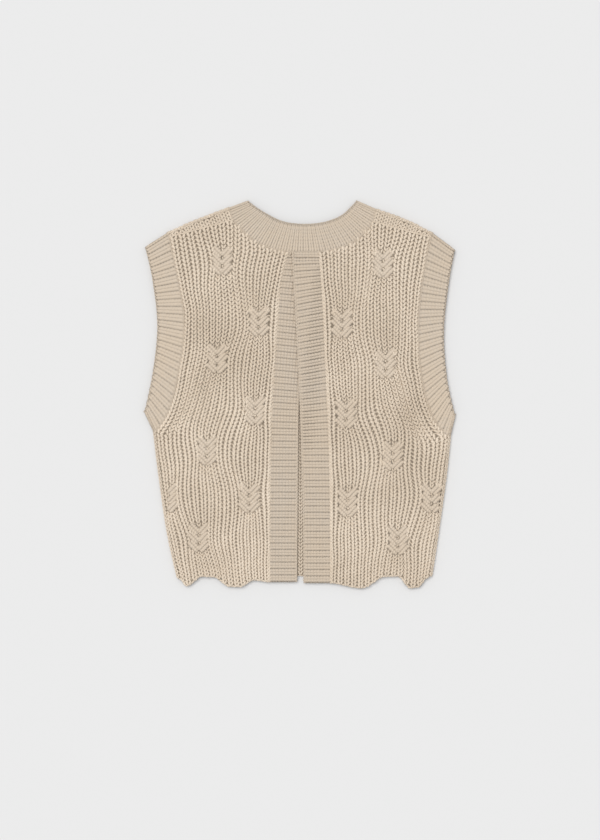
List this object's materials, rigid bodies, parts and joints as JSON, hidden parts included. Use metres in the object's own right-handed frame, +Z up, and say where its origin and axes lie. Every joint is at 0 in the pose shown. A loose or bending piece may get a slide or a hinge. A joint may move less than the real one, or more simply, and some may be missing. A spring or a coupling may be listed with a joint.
{
  "type": "knitted sweater vest",
  "caption": "Cropped chunky-knit sweater vest with ribbed neckband, ribbed armhole bands and an open ribbed split down the back, laid flat on its front.",
  "frame": {"origin": "on the table under the middle of the laid-out vest, the centre of its bounding box at its lowest level", "axes": "+Y towards the neckband along the length, +X to the right as seen from above with the back facing up, +Z up from the table"},
  "size_m": [0.4374, 0.5416, 0.0106],
  "materials": {
    "rib_knit": "matte heavy wool-blend yarn in fisherman's rib, oatmeal beige",
    "band_knit": "matte wool-blend yarn in close ribbing, oatmeal beige"
  },
  "bodies": {
    "root": {"front": "rib_knit", "back_left": "rib_knit", "back_right": "rib_knit", "strip_left": "band_knit", "strip_right": "band_knit", "neckband": "band_knit", "armband_left": "band_knit", "armband_right": "band_knit"}
  },
  "joints": []
}
